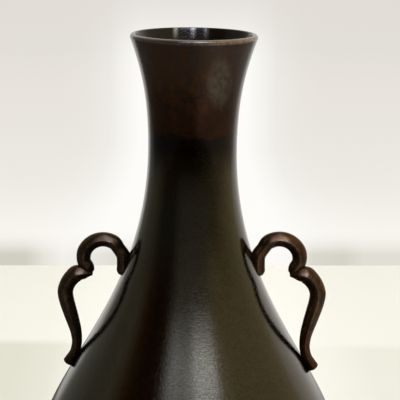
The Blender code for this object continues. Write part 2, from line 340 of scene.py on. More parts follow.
# %% Routes of the rods
# The routes are drawn on the straight line between the seats of the ear's feet, and the lean
# turns the drawing out from that line. A point is (along the line, out from it, fullness): the
# first two are shares of the span, and fullness is the rod's thickness there beside its full one.
LEFT_EAR_DROP = 0.1136
LEFT_EAR_SPAN = 0.0516
LEFT_EAR_LEAN = math.radians(0.4)
RIGHT_EAR_DROP = 0.1126
RIGHT_EAR_SPAN = 0.0536
RIGHT_EAR_LEAN = math.radians(0.7)
EYE_RADIUS = 0.0065
EYE_CENTRE = (0.128, 0.208)
UPPER_FOOT = [(0.180, -0.036, 0.60), (0.150, -0.025, 0.92), (0.088, -0.002, 1.00),
              (0.010, 0.045, 0.97), (-0.036, 0.120, 0.92)]
ARCH_FROM = math.radians(186)
ARCH_TO = math.radians(84)
ARCH_POINTS = 5
ARCH_END = [(0.223, 0.373, 0.96), (0.252, 0.337, 0.95), (0.271, 0.299, 0.90), (0.282, 0.268, 0.70),
            (0.290, 0.245, 0.36)]
SCROLL = [(0.301, 0.236, 0.32), (0.322, 0.292, 0.80), (0.366, 0.366, 1.14), (0.425, 0.396, 1.13),
          (0.504, 0.409, 1.08), (0.584, 0.396, 1.07), (0.657, 0.347, 1.05), (0.734, 0.277, 1.00),
          (0.812, 0.203, 0.92), (0.888, 0.134, 0.81), (0.955, 0.087, 0.73), (1.020, 0.055, 0.69),
          (1.105, 0.036, 0.71), (1.188, 0.043, 0.76), (1.226, 0.050, 0.72), (1.240, 0.052, 0.42)]
print("points of a route:", len(UPPER_FOOT) + ARCH_POINTS + len(ARCH_END), "and", len(SCROLL))

# %% Places of the ears
HALVINGS = 40


def surface_at(height):
    """The point of the outer form at a height."""
    for upper, lower in zip(OUTER_FORM, OUTER_FORM[1:]):
        if lower.y <= height <= upper.y:
            share = (upper.y - height) / (upper.y - lower.y)
            return upper.lerp(lower, share)
    raise ValueError("the height is off the body")


class Ear:
    """Where one ear sits: its side, its size, and the line between the seats of its feet."""

    def __init__(self, side, direction, drop, span, lean):
        self.side = side
        self.direction = direction
        self.span = span
        self.growth = span / LEFT_EAR_SPAN
        self.upper_seat = surface_at(MOUTH_HEIGHT - drop)
        self.along = (self.find_lower_seat() - self.upper_seat).normalized()
        self.along.rotate(Matrix.Rotation(lean, 2))
        self.out = Vector((-self.along.y, self.along.x))

    def find_lower_seat(self):
        """The point of the body's surface that lies one span from the upper seat."""
        high = self.upper_seat.y
        low = high - self.span
        for _ in range(HALVINGS):
            middle = (high + low) / 2
            if (surface_at(middle) - self.upper_seat).length < self.span:
                high = middle
            else:
                low = middle
        return surface_at(low)

    def place(self, along, out):
        """A point of the drawing, as (distance from the vase's axis, height)."""
        return self.upper_seat + along * self.span * self.along + out * self.span * self.out

    def station(self, along, out, fullness):
        """A point of a route, with how much of the rod's radius it has there."""
        point = self.place(along, out)
        return Vector((point.x, point.y, fullness * self.growth))

    def arch(self):
        """The upper rod: out of its foot, round the eye, and in to where the rods meet."""
        centre = self.place(*EYE_CENTRE)
        radius = (EYE_RADIUS + ROD_RADIUS) * self.growth
        stations = [self.station(*point) for point in UPPER_FOOT]
        for turn in arc(Vector((0, 0)), radius, ARCH_FROM, ARCH_TO, ARCH_POINTS):
            point = centre + turn.x * self.along + turn.y * self.out
            stations.append(Vector((point.x, point.y, self.growth)))
        return stations + [self.station(*point) for point in ARCH_END]

    def scroll(self):
        """The lower rod: from where the rods meet, out and down to the tail."""
        return [self.station(*point) for point in SCROLL]


left_ear = Ear("left", -1, LEFT_EAR_DROP, LEFT_EAR_SPAN, LEFT_EAR_LEAN)
right_ear = Ear("right", 1, RIGHT_EAR_DROP, RIGHT_EAR_SPAN, RIGHT_EAR_LEAN)
for ear in (left_ear, right_ear):
    print(ear.side, "upper seat, mm:", [round(1000 * value, 1) for value in ear.upper_seat])

# %% Rods of the ears
ROUTE_STEPS = 7
HANDLE_PART = 6


def make_rod(name, stations, direction):
    """Carry the section along a smooth curve through the stations, and stand it up."""
    bpy.ops.object.select_all(action="DESELECT")
    bpy.ops.curve.primitive_bezier_curve_add()
    rod = bpy.context.object
    rod.name = name
    rod.data.dimensions = "2D"
    rod.data.fill_mode = "NONE"
    spline = rod.data.splines[0]
    spline.bezier_points.add(len(stations) - len(spline.bezier_points))
    spline.resolution_u = ROUTE_STEPS
    spline.radius_interpolation = "CARDINAL"
    for index, (knot, here) in enumerate(zip(spline.bezier_points, stations)):
        before = stations[max(index - 1, 0)]
        after = stations[min(index + 1, len(stations) - 1)]
        reach = (after - before).xy.to_3d() / HANDLE_PART
        reach.x *= direction
        knot.handle_left_type = knot.handle_right_type = "FREE"
        knot.co = (direction * here.x, here.y, 0)
        knot.handle_left = knot.co - reach
        knot.handle_right = knot.co + reach
        knot.radius = here.z
    rod.data.bevel_mode = "OBJECT"
    rod.data.bevel_object = rod_section
    rod.data.use_fill_caps = True
    bpy.ops.object.convert(target="MESH")
    rod = bpy.context.object
    rod.rotation_euler.x = math.pi / 2
    bpy.ops.object.transform_apply(location=False, rotation=True, scale=False)
    bpy.ops.object.mode_set(mode="EDIT")
    bpy.ops.mesh.select_all(action="SELECT")
    bpy.ops.mesh.remove_doubles(threshold=WELD)
    bpy.ops.mesh.normals_make_consistent(inside=False)
    bpy.ops.object.mode_set(mode="OBJECT")
    return rod


rods = []
for ear in (left_ear, right_ear):
    arch = make_rod(f"ear_{ear.side}", ear.arch(), ear.direction)
    scroll = make_rod(f"scroll_{ear.side}", ear.scroll(), ear.direction)
    rods.append((arch, scroll))
bpy.data.objects.remove(rod_section, do_unlink=True)
print("rods:", [rod.name for pair in rods for rod in pair])

# %% Join the rods and seat the ears
SEAT_GAP = 0.00004


def seat_form():
    """The body's outer form as one solid, which trims the ears' feet to their seats."""
    shell = moved_in(OUTER_FORM, -SEAT_GAP)
    top = Vector((0, shell[0].y))
    bottom = Vector((0, shell[-1].y))
    return spun("seat_form", [top] + shell + [bottom])


ears = []
for arch, scroll in rods:
    apply_boolean(arch, scroll, "UNION")
    apply_boolean(arch, seat_form(), "DIFFERENCE")
    ears.append(arch)
    print(arch.name, triangles(arch), "triangles")

for piece in (bronze_body, *ears):
    settle(piece)

# %% [markdown]
# ## The bottom
#
# The casting is open below, where its core came out. A disc is let up into the foot against a
# ledge, and a hollow fillet of soft solder seals it. Both are round, so they are spun as well.

# %% Disc and solder
FIT = 0.0001
DISC_THICKNESS = 0.0022
DISC_EDGE = 0.0003
SOLDER_LEG = 0.0019
SOLDER_HOLLOW = 0.5
SOLDER_STEPS = 10

disc_radius = FOOT_NECK_RADIUS - FOOT_WALL - FIT
disc_top = FOOT_HEIGHT - LEDGE_THICKNESS - FIT
disc_bottom = disc_top - DISC_THICKNESS
disc_edges = [(0, disc_top), (disc_radius - DISC_EDGE, disc_top), (disc_radius, disc_top - DISC_EDGE),
              (disc_radius, disc_bottom), (0, disc_bottom)]
bottom_disc = spun("bottom_disc", [Vector(point) for point in disc_edges])

corner = Vector((disc_radius, disc_bottom - FIT))
on_disc = corner - Vector((SOLDER_LEG, 0))
on_foot = corner - Vector((0, SOLDER_LEG))
hollow = ((on_disc + on_foot) / 2).lerp(corner, SOLDER_HOLLOW)
fillet_face = bezier(on_disc, hollow, hollow, on_foot, SOLDER_STEPS)
solder_fillet = spun("solder_fillet", fillet_face + [on_foot, corner])
for piece in (bottom_disc, solder_fillet):
    settle(piece)
    print(piece.name, triangles(piece), "triangles")

# %% [markdown]
# ## Patina
#
# The bronze was browned with heat and chemicals and then waxed, so one sees mostly what it
# mirrors. Under the wax the brown drifts in clouds, and the metal keeps the lathe's fine rings
# and the grain of the casting. Each of these is a small group of nodes that gives one value, so
# that every piece can use it at its own scale.

# %% Node helpers
def add(tree, kind, inputs=None, **settings):
    """A shader node with its settings. An input is a value, or another node's output to link."""
    node = tree.nodes.new("ShaderNode" + kind)
    for name, value in settings.items():
        setattr(node, name, value)
    for name, value in (inputs or {}).items():
        if isinstance(value, bpy.types.NodeSocket):
            tree.links.new(value, node.inputs[name])
        else:
            node.inputs[name].default_value = value
    return node


def new_material(name):
    """An empty node material, and its tree."""
    material = bpy.data.materials.new(name)
    material.use_nodes = True
    material.node_tree.nodes.clear()
    return material, material.node_tree


def maths(tree, operation, *values):
    """The result of a Math node on its values."""
    return add(tree, "Math", dict(enumerate(values)), operation=operation).outputs[0]


def times(tree, first, second):
    """The product of two values."""
    return maths(tree, "MULTIPLY", first, second)


def span(tree, value, start, end, low=0.0, high=1.0, smooth=False):
    """A value's way from start to end, as a share that runs from low to high."""
    kind = "SMOOTHSTEP" if smooth else "LINEAR"
    inputs = {"Value": value, "From Min": start, "From Max": end, "To Min": low, "To Max": high}
    return add(tree, "MapRange", inputs, interpolation_type=kind).outputs["Result"]


def between(tree, share, low, high):
    """A number that runs from low to high as a share grows from 0 to 1."""
    return span(tree, share, 0.0, 1.0, low, high)


def mixed(tree, share, first, second):
    """The second colour over the first one, by a share. A Mix node's sockets 6 and 7 are its colours."""
    return add(tree, "Mix", {"Factor": share, 6: first, 7: second}, data_type="RGBA").outputs[2]


# %% Ramps of colour along a line
def grey(value, tint=(1, 1, 1)):
    """A colour from a brightness and a tint."""
    return tuple(value * part for part in tint)


def stops(*marks):
    """Stops for a ramp. A mark is a place, a brightness and, where it isn't grey, a tint."""
    return [(mark[0], grey(*mark[1:])) for mark in marks]


def ramp(tree, value, places):
    """Colours along a value, as (value, colour) stops from its least to its greatest."""
    low = places[0][0]
    high = places[-1][0]
    share = span(tree, value, low, high)
    band = add(tree, "ValToRGB", {"Fac": share})
    elements = band.color_ramp.elements
    for _ in places[2:]:
        elements.new(1.0)
    for element, (place, colour) in zip(elements, places):
        element.position = (place - low) / (high - low)
        element.color = (*colour, 1)
    return band.outputs["Color"]


# %% Groups of nodes
THIN_CLOUD = 0.34
THICK_CLOUD = 0.66
ACROSS_RINGS = 22.0
PIT_EDGE = 0.5


def new_group(name, numbers):
    """A group that takes a place and some numbers, and gives one value."""
    tree = bpy.data.node_groups.new(name, "ShaderNodeTree")
    tree.interface.new_socket("Vector", in_out="INPUT", socket_type="NodeSocketVector")
    for title, value in numbers.items():
        socket = tree.interface.new_socket(title, in_out="INPUT", socket_type="NodeSocketFloat")
        socket.default_value = value
    tree.interface.new_socket("Value", in_out="OUTPUT", socket_type="NodeSocketFloat")
    given = tree.nodes.new("NodeGroupInput").outputs
    result = tree.nodes.new("NodeGroupOutput").inputs["Value"]
    return tree, given, result


# Clouds: soft patches of colour, with their size per metre and how much they swirl.
clouds, given, result = new_group("clouds", {"Scale": 80.0, "Swirl": 1.0})
noise = add(clouds, "TexNoise", {"Vector": given["Vector"], "Scale": given["Scale"], "Detail": 5.0,
                                 "Roughness": 0.62, "Distortion": given["Swirl"]})
clouds.links.new(span(clouds, noise.outputs[0], THIN_CLOUD, THICK_CLOUD), result)

# Turning: rings round the vase's axis, as a noise that is squeezed along the axis.
turning, given, result = new_group("turning", {"Rings": 1400.0})
squeeze = add(turning, "CombineXYZ", {"X": ACROSS_RINGS, "Y": ACROSS_RINGS, "Z": given["Rings"]})
rings = add(turning, "VectorMath", {0: given["Vector"], 1: squeeze.outputs[0]}, operation="MULTIPLY")
noise = add(turning, "TexNoise", {"Vector": rings.outputs[0], "Scale": 1.0, "Detail": 3.0})
turning.links.new(noise.outputs[0], result)

# Grain: the small pits and bumps that the mould left.
grain, given, result = new_group("grain", {"Scale": 900.0})
noise = add(grain, "TexNoise", {"Vector": given["Vector"], "Scale": given["Scale"], "Detail": 2.0})
pits = add(grain, "TexVoronoi", {"Vector": given["Vector"], "Scale": given["Scale"]})
pit_depth = span(grain, pits.outputs["Distance"], 0.0, PIT_EDGE)
grain.links.new(times(grain, noise.outputs[0], pit_depth), result)
print("groups:", [group.name for group in bpy.data.node_groups])


# %% Using a group, and the metal itself
def use(tree, group, inputs):
    """A group's value in a material."""
    return add(tree, "Group", inputs, node_tree=group).outputs[0]


def finish_metal(tree, colour, roughness, metallic, height, depth, wax, wax_blur):
    """Metal with a coat of wax. Height is the relief's value, and depth its size in metres."""
    relief = add(tree, "Bump", {"Height": height, "Distance": depth})
    shader = add(tree, "BsdfPrincipled", {
        "Base Color": colour,
        "Roughness": roughness,
        "Metallic": metallic,
        "Normal": relief.outputs["Normal"],
        "Coat Weight": wax,
        "Coat Roughness": wax_blur,
    })
    add(tree, "OutputMaterial", {"Surface": shader.outputs["BSDF"]})


# %% [markdown]
# ## Bronze of the body
#
# The body is black-brown with an olive cast, its upper neck is a redder brown, and the mouth's
# edge is worn. Masks made from place and from which way the surface faces tell these apart, so no
# part of the casting needs a material of its own. They share clouds of three sizes.

# %% Places and clouds
body_bronze, tree = new_material("body_bronze")
place = add(tree, "TexCoord").outputs["Object"]
facing = add(tree, "NewGeometry").outputs["Normal"]
part = add(tree, "SeparateXYZ", {"Vector": place}).outputs
wide_clouds = use(tree, clouds, {"Vector": place, "Scale": 60.0, "Swirl": 1.2})
mid_clouds = use(tree, clouds, {"Vector": place, "Scale": 150.0, "Swirl": 1.5})
small_clouds = use(tree, clouds, {"Vector": place, "Scale": 380.0, "Swirl": 0.8})
print("nodes in the body's material:", len(tree.nodes))

# %% Belly, shoulder and lower neck
BLACK_BRONZE = (0.019, 0.015, 0.007, 1)
OLIVE_BRONZE = (0.043, 0.036, 0.016, 1)
RED_BRONZE = (0.041, 0.027, 0.013, 1)
RED_SHARE = 0.6
SPECK = (0.106, 0.090, 0.057, 1)
SPECK_SHARE = 0.45
SPECK_FROM = 0.12
SPECK_FULL = 0.50
UNDER_BROWN = (0.012, 0.007, 0.003, 1)
UNDER_BROWN_FROM = 0.221
UNDER_BROWN_FULL = 0.235

dark = mixed(tree, mid_clouds, BLACK_BRONZE, OLIVE_BRONZE)
dark = mixed(tree, times(tree, wide_clouds, RED_SHARE), dark, RED_BRONZE)
specks = use(tree, grain, {"Vector": place, "Scale": 1250.0})
dark = mixed(tree, span(tree, specks, SPECK_FROM, SPECK_FULL, 0.0, SPECK_SHARE), dark, SPECK)
dark = mixed(tree, span(tree, part["Z"], UNDER_BROWN_FROM, UNDER_BROWN_FULL), dark, UNDER_BROWN)
print("nodes in the body's material:", len(tree.nodes))

# %% [markdown]
# The brown of the neck ends below in a ragged line. A cloud is added to the height before the
# line is drawn, which frays it. The brown itself is blotched, greyer towards the mouth and deeper
# where it meets the black.

# %% Brown of the neck
BROWN_NECK = (0.066, 0.024, 0.004, 1)
DARK_NECK = (0.008, 0.005, 0.002, 1)
SMALL_BLOTCHES = 0.35
BLOTCH_DARK = 0.20
BLOTCH_BROWN = 1.15
GREY_NECK = (0.052, 0.033, 0.022, 1)
GREY_FROM = 0.258
GREY_FULL = 0.278
LOW_NECK = (0.036, 0.012, 0.003, 1)
LOW_NECK_SHARE = 0.8
LOW_NECK_TOP = 0.268
LOW_NECK_FULL = 0.248
BROWN_RAGGED = 0.007
BROWN_STARTS = 0.2435
BROWN_FULL = 0.2475

blotches = maths(tree, "ADD", mid_clouds, times(tree, small_clouds, SMALL_BLOTCHES))
neck = mixed(tree, span(tree, blotches, BLOTCH_DARK, BLOTCH_BROWN), DARK_NECK, BROWN_NECK)
no_cloud = maths(tree, "SUBTRACT", 1.0, mid_clouds)
greyed = times(tree, no_cloud, span(tree, part["Z"], GREY_FROM, GREY_FULL))
neck = mixed(tree, greyed, neck, GREY_NECK)
low_neck = span(tree, part["Z"], LOW_NECK_TOP, LOW_NECK_FULL)
neck = mixed(tree, times(tree, low_neck, LOW_NECK_SHARE), neck, LOW_NECK)
ragged_height = maths(tree, "MULTIPLY_ADD", mid_clouds, BROWN_RAGGED, part["Z"])
brown = span(tree, ragged_height, BROWN_STARTS, BROWN_FULL, smooth=True)
colour = mixed(tree, brown, dark, neck)
print("nodes in the body's material:", len(tree.nodes))

# %% [markdown]
# A lighter patch swirls on the right of the neck, where the patina is thin. Its mask is round,
# squeezed to the patch's size by a Mapping node, and a cloud breaks it up.

# %% Lighter patch on the neck
PATCH = (0.108, 0.081, 0.051, 1)
PATCH_CENTRE = (0.0128, -0.0206, 0.269)
PATCH_SIZE = (0.0058, 0.014, 0.013)
PATCH_EDGE = 1.3
PATCH_CORE = 0.6
PATCH_THINNEST = 0.1

patch_scale = [1 / size for size in PATCH_SIZE]
patch_shift = [-centre * scale for centre, scale in zip(PATCH_CENTRE, patch_scale)]
patch_place = add(tree, "Mapping", {"Vector": place, "Location": patch_shift, "Scale": patch_scale})
from_patch = add(tree, "VectorMath", {0: patch_place.outputs[0]}, operation="LENGTH").outputs["Value"]
swirls = use(tree, clouds, {"Vector": place, "Scale": 125.0, "Swirl": 1.7})
patch_ball = span(tree, from_patch, PATCH_EDGE, PATCH_CORE, smooth=True)
patch = times(tree, patch_ball, between(tree, swirls, PATCH_THINNEST, 1.0))
colour = mixed(tree, patch, colour, PATCH)
print("patch from the axis, mm:", round(1000 * math.hypot(*PATCH_CENTRE[:2]), 1))

# %% [markdown]
# Inside, the neck is black and glossy. The lining faces the axis, so its normal points against
# the place's own direction from the axis, and their dot product finds it. Hands have rubbed the
# mouth's edge almost bare: all of its crest, and a little of the outside below it, more to the
# right, where the metal shows more of its copper.

# %% Lining and worn lip
LINING = (0.026, 0.022, 0.017, 1)
LINING_FROM = -0.3
LINING_FULL = -0.6
RUBBED_LIP = (0.190, 0.170, 0.145, 1)
COPPER_LIP = (0.330, 0.200, 0.120, 1)
LIP_WORN_FROM = MOUTH_HEIGHT - 0.0026
LIP_WORN_BLEND = 0.0008
LIP_INNER_SIDE = -0.5
CREST_FROM = 0.30
CREST_FULL = 0.80
WEAR_LEFT = -0.010
WEAR_RIGHT = 0.012
LEFT_WEAR = 0.35
PATCHY_WEAR = 0.5
PATCHY_UNTIL = 0.6
COPPER_LEFT = -0.012
COPPER_RIGHT = 0.020

flat_place = add(tree, "VectorMath", {0: place, 1: (1.0, 1.0, 0.0)}, operation="MULTIPLY").outputs[0]
outwards = add(tree, "VectorMath", {0: flat_place}, operation="NORMALIZE").outputs[0]
turned_out = add(tree, "VectorMath", {0: facing, 1: outwards}, operation="DOT_PRODUCT").outputs["Value"]
inside = span(tree, turned_out, LINING_FROM, LINING_FULL)
colour = mixed(tree, inside, colour, LINING)

up = add(tree, "SeparateXYZ", {"Vector": facing}).outputs["Z"]
lip_height = span(tree, part["Z"], LIP_WORN_FROM, LIP_WORN_FROM + LIP_WORN_BLEND)
lip_band = times(tree, lip_height, span(tree, turned_out, LIP_INNER_SIDE, 0.0))
crest = span(tree, up, CREST_FROM, CREST_FULL)
more_right = span(tree, part["X"], WEAR_LEFT, WEAR_RIGHT, LEFT_WEAR, 1.0)
patchy = span(tree, small_clouds, 0.0, PATCHY_UNTIL, PATCHY_WEAR, 1.0)
below_crest = times(tree, more_right, patchy)
worn = times(tree, lip_band, maths(tree, "MAXIMUM", crest, below_crest))
copper = times(tree, span(tree, part["X"], COPPER_LEFT, COPPER_RIGHT), small_clouds)
colour = mixed(tree, worn, colour, mixed(tree, copper, RUBBED_LIP, COPPER_LIP))
print("nodes in the body's material:", len(tree.nodes))

# %% [markdown]
# Three light spots stand on the far side of the lining, just under the edge. They are painted
# highlights, the glints of lamps, at three places across the mouth.

# %% Painted highlights in the lining
# Painted highlights: light spots on the far lining that stand for the glints of lamps.
PAINTED_GLINT = (0.420, 0.400, 0.370, 1)
GLINT_STOPS = stops((-0.0112, 0.0), (-0.0096, 1.0), (-0.0078, 0.0), (-0.0024, 0.0), (-0.0006, 1.0),
              (0.0012, 0.0), (0.0042, 0.0), (0.0060, 0.7), (0.0078, 0.0))
FAR_SIDE_FULL = 0.010
GLINTS_END = MOUTH_HEIGHT - 0.0060
GLINTS_FULL = MOUTH_HEIGHT - 0.0015

glints = ramp(tree, part["X"], GLINT_STOPS)
behind_axis = span(tree, part["Y"], 0.0, FAR_SIDE_FULL)
far_side = times(tree, behind_axis, span(tree, part["Z"], GLINTS_END, GLINTS_FULL))
# The painted glints show only on the lining's far side.
glinted = times(tree, times(tree, glints, far_side), inside)
colour = mixed(tree, glinted, colour, PAINTED_GLINT)
print("drips:", sum(1 for _, tone in GLINT_STOPS if max(tone) > 0))

# %% [markdown]
# Last comes how the surface shines. The bronze is nearly a mirror, duller on the patch and on
# the worn lip. The brown of the neck is a thicker patina, so it is less metallic and takes less
# wax, and so does the lining. A fine relief of rings and grain breaks up the highlights.

# %% Shine and relief of the body
SMOOTHEST = 0.09
DULLEST = 0.15
PATCH_DULLS = 0.12
LIP_DULLS = 0.16
BROWN_METAL = 0.80
LOW_BROWN_SHARE = 0.45
BODY_WAX = 0.30
BROWN_WAX = 0.14
LINING_WAX_SHARE = 0.7
WAX_BLUR = 0.10
GRAIN_TO_RINGS = 5.0
BODY_RELIEF = 1.1e-5

duller = maths(tree, "ADD", times(tree, patch, PATCH_DULLS), times(tree, worn, LIP_DULLS))
roughness = maths(tree, "ADD", duller, between(tree, small_clouds, SMOOTHEST, DULLEST))
patina = times(tree, brown, between(tree, low_neck, 1.0, LOW_BROWN_SHARE))
metallic = between(tree, patina, 1.0, BROWN_METAL)
wax = between(tree, brown, BODY_WAX, BROWN_WAX)
wax = times(tree, wax, between(tree, inside, 1.0, LINING_WAX_SHARE))
turned_rings = use(tree, turning, {"Vector": place, "Rings": 1400.0})
casting_grain = use(tree, grain, {"Vector": place, "Scale": 1150.0})
relief = maths(tree, "MULTIPLY_ADD", casting_grain, GRAIN_TO_RINGS, turned_rings)
finish_metal(tree, colour, roughness, metallic, relief, BODY_RELIEF, wax, WAX_BLUR)
print("nodes in the body's material:", len(tree.nodes))

# %% [markdown]
# ## Bronze of the ears and the small parts
#
# The ears are redder than the body and feel drier, the right one most of all. Fingers rubbed
# their ridges lighter, and that lighter colour is also a painted highlight along them; the
# distance from the vase's middle plane finds it. The bottom disc was scraped flat and left dull.
# The pins' heads were hammered over, and the solder has dulled to grey.

# %% Bronze of the ears
EAR_DARK = (0.048, 0.030, 0.016, 1)
EAR_BROWN = (0.078, 0.047, 0.025, 1)
EAR_RED = (0.110, 0.050, 0.020, 1)
# Lighter ridges: partly rubbed wear, partly a painted highlight along the ridge.
EAR_WEAR_AND_SHEEN = (0.170, 0.115, 0.068, 1)
RED_SIDE = 0.03
RIDGE_FROM = 0.0036
RIDGE_FULL = 0.0042
EAR_RELIEF = 4e-5
EAR_WAX = 0.04
EAR_WAX_BLUR = 0.20

ear_bronze, tree = new_material("ear_bronze")
place = add(tree, "TexCoord").outputs["Object"]
part = add(tree, "SeparateXYZ", {"Vector": place}).outputs
ear_clouds = use(tree, clouds, {"Vector": place, "Scale": 180.0, "Swirl": 1.5})
fine_clouds = use(tree, clouds, {"Vector": place, "Scale": 600.0, "Swirl": 0.5})
reddish = mixed(tree, span(tree, part["X"], -RED_SIDE, RED_SIDE), EAR_BROWN, EAR_RED)
colour = mixed(tree, ear_clouds, EAR_DARK, reddish)
from_middle = maths(tree, "ABSOLUTE", part["Y"])
# The ridge mask carries both the wear and the painted highlight.
ridge = span(tree, from_middle, RIDGE_FROM, RIDGE_FULL)
ridge_wear_and_sheen = times(tree, ridge, between(tree, fine_clouds, 0.2, 0.9))
colour = mixed(tree, ridge_wear_and_sheen, colour, EAR_WEAR_AND_SHEEN)
roughness = between(tree, fine_clouds, 0.18, 0.30)
metallic = between(tree, ear_clouds, 0.96, 0.90)
relief = use(tree, grain, {"Vector": place, "Scale": 1300.0})
finish_metal(tree, colour, roughness, metallic, relief, EAR_RELIEF, EAR_WAX, EAR_WAX_BLUR)
print("nodes in the ears' material:", len(tree.nodes))

# %% Disc, pins and solder
DULL_METAL = 0.9
GRAIN_TO_CLOUDS = 8
DISC_DARK = (0.090, 0.064, 0.038, 1)
DISC_LIGHT = (0.130, 0.092, 0.052, 1)
PIN_DARK = (0.180, 0.120, 0.060, 1)
PIN_LIGHT = (0.270, 0.185, 0.095, 1)
SOLDER_DARK = (0.240, 0.235, 0.220, 1)
SOLDER_LIGHT = (0.340, 0.330, 0.305, 1)


def small_metal(name, first, second, scale, roughness, depth):
    """An unwaxed metal of two colours that drift into each other, with a grain."""
    material, tree = new_material(name)
    place = add(tree, "TexCoord").outputs["Object"]
    drift = use(tree, clouds, {"Vector": place, "Scale": scale, "Swirl": 1.0})
    relief = use(tree, grain, {"Vector": place, "Scale": GRAIN_TO_CLOUDS * scale})
    colour = mixed(tree, drift, first, second)
    finish_metal(tree, colour, roughness, DULL_METAL, relief, depth, 0.0, WAX_BLUR)
    return material


disc_bronze = small_metal("disc_bronze", DISC_DARK, DISC_LIGHT, 90.0, 0.45, 6e-5)
pin_bronze = small_metal("pin_bronze", PIN_DARK, PIN_LIGHT, 260.0, 0.40, 8e-5)
solder = small_metal("solder", SOLDER_DARK, SOLDER_LIGHT, 150.0, 0.50, 9e-5)
print("small metals:", disc_bronze.name, pin_bronze.name, solder.name)


# %% Give each piece its material
def finish_with(piece, material):
    """Give a piece one material."""
    piece.data.materials.clear()
    piece.data.materials.append(material)


finish_with(bronze_body, body_bronze)
for piece in ears:
    finish_with(piece, ear_bronze)
finish_with(bottom_disc, disc_bronze)
finish_with(solder_fillet, solder)
for name, node in frame["nodes"].items():
    if name.startswith("rivet"):
        finish_with(node, pin_bronze)
print("materials:", [material.name for material in bpy.data.materials])

# %% [markdown]
# ## Table and wall
#
# The vase stands on a pale table before a white wall. Both are plain planes. Their paint shows
# the background of the photograph to the camera and another one, darker in places, to the
# polished metal: Light Path tells the two kinds of ray apart. The table is real matt paint to the
# camera, so that it holds the vase's shadow. The wall is a few degrees off square to the camera,
# which levels the table's far edge although the camera leans.

# %% Planes of the table and the wall
TABLE_FRONT = -0.95
TABLE_BACK = 0.724
TABLE_UNDER_WALL = 0.15
TABLE_SIDE = 1.6
WALL_TOP = 1.6
WALL_TURN = math.radians(3.3)


def add_plane(name, location, turn, width, height):
    """A plane of a given width and height, turned about X and Z."""
    bpy.ops.object.select_all(action="DESELECT")
    bpy.ops.mesh.primitive_plane_add(size=1, location=location, rotation=turn)
    plane = bpy.context.object
    plane.name = name
    plane.scale = (width, height, 1)
    settle(plane)
    return plane


table_end = TABLE_BACK + TABLE_UNDER_WALL
table_middle = (0, (TABLE_FRONT + table_end) / 2, 0)
floor = add_plane("floor", table_middle, (0, 0, 0), 2 * TABLE_SIDE, table_end - TABLE_FRONT)
wall_turn = (math.pi / 2, 0, WALL_TURN)
backdrop = add_plane("backdrop", (0, TABLE_BACK, WALL_TOP / 2), wall_turn, 2 * TABLE_SIDE, WALL_TOP)
print("table's depth, m:", round(table_end - TABLE_FRONT, 3))


# %% Shaders that change with the kind of ray
def shining(tree, colour):
    """A surface that shows its colour as it is, whatever light falls on it."""
    return add(tree, "Emission", {"Color": colour, "Strength": 1.0}).outputs[0]


def matt(tree, colour):
    """Matt paint."""
    return add(tree, "BsdfDiffuse", {"Color": colour}).outputs[0]


def either(tree, choice, shader, chosen):
    """One shader, or the chosen one where the choice is 1."""
    return add(tree, "MixShader", {0: choice, 1: shader, 2: chosen}).outputs[0]


# %% Paint of the table
# What the metal mirrors of the table runs from a dim left to a lit right. The camera sees its
# left and right a little shaded, more on the near part than on the strip before the wall.
WARM = (1.0, 0.90, 0.62)
MIRRORED_TABLE = stops((-0.45, 0.13), (-0.12, 0.14), (0.0, 0.15), (0.12, 0.32), (0.26, 0.55),
                       (0.45, 0.42), (0.65, 0.38), (1.5, 0.55, WARM))
TABLE_PAINT = (0.93, 0.915, 0.83, 1)
TABLE_SHADED = (0.715, 0.700, 0.590, 1)
SHADE_NEAR = stops((-0.132, 1.0), (-0.105, 0.8), (-0.092, 0.5), (0.0, 0.0), (0.075, 0.05),
                   (0.100, 0.3), (0.134, 0.6))
SHADE_FAR = stops((-0.160, 0.32), (-0.115, 0.25), (-0.070, 0.0), (0.080, 0.0), (0.110, 0.2),
                  (0.160, 0.28))
FAR_UNTIL = 0.470
NEAR_FROM = 0.452

floor_paint, tree = new_material("floor_paint")
path = add(tree, "LightPath").outputs
part = add(tree, "SeparateXYZ", {"Vector": add(tree, "TexCoord").outputs["Object"]}).outputs
near = span(tree, part["Y"], FAR_UNTIL, NEAR_FROM)
shaded = mixed(tree, near, ramp(tree, part["X"], SHADE_FAR), ramp(tree, part["X"], SHADE_NEAR))
painted = matt(tree, mixed(tree, shaded, TABLE_PAINT, TABLE_SHADED))
mirrored = shining(tree, ramp(tree, part["X"], MIRRORED_TABLE))
table = either(tree, path["Is Glossy Ray"], painted, mirrored)
add(tree, "OutputMaterial", {"Surface": table})
finish_with(floor, floor_paint)
print("nodes in the table's paint:", len(tree.nodes))

# %% [markdown]
# The wall is brightest low down and in a painted glow of light round the vase, which widens
# towards its foot. A painted shadow runs along its foot by the table. From behind the wall is
# clear, so that it never hides the vase from a camera on that side.

# %% Paint of the wall
PALE_PAINT = (0.84, 0.82, 0.77, 1)
WALL_RISE = [(0.0, (0.920, 0.895, 0.840)), (0.030, (0.939, 0.913, 0.855)), (0.055, (0.888, 0.863, 0.807)),
             (0.078, (0.847, 0.823, 0.768)), (0.120, (0.815, 0.791, 0.738)), (0.170, (0.799, 0.761, 0.716)),
             (0.200, (0.760, 0.731, 0.686)), (0.240, (0.756, 0.720, 0.675))]
GLOW_COLOUR = (0.985, 0.975, 0.950, 1)
GLOW_SIDE = 0.0033
GLOW_ACROSS = stops((0.048, 0.98), (0.057, 0.75), (0.068, 0.48), (0.075, 0.25), (0.096, 0.06), (0.12, 0.0))
GLOW_WIDENS = stops((0.0, 0.55), (0.030, 0.60), (0.055, 0.71), (0.078, 0.86), (0.110, 1.0))
GLOW_FADES = stops((0.190, 1.0), (0.205, 0.8), (0.214, 0.6), (0.2225, 0.42), (0.239, 0.18))
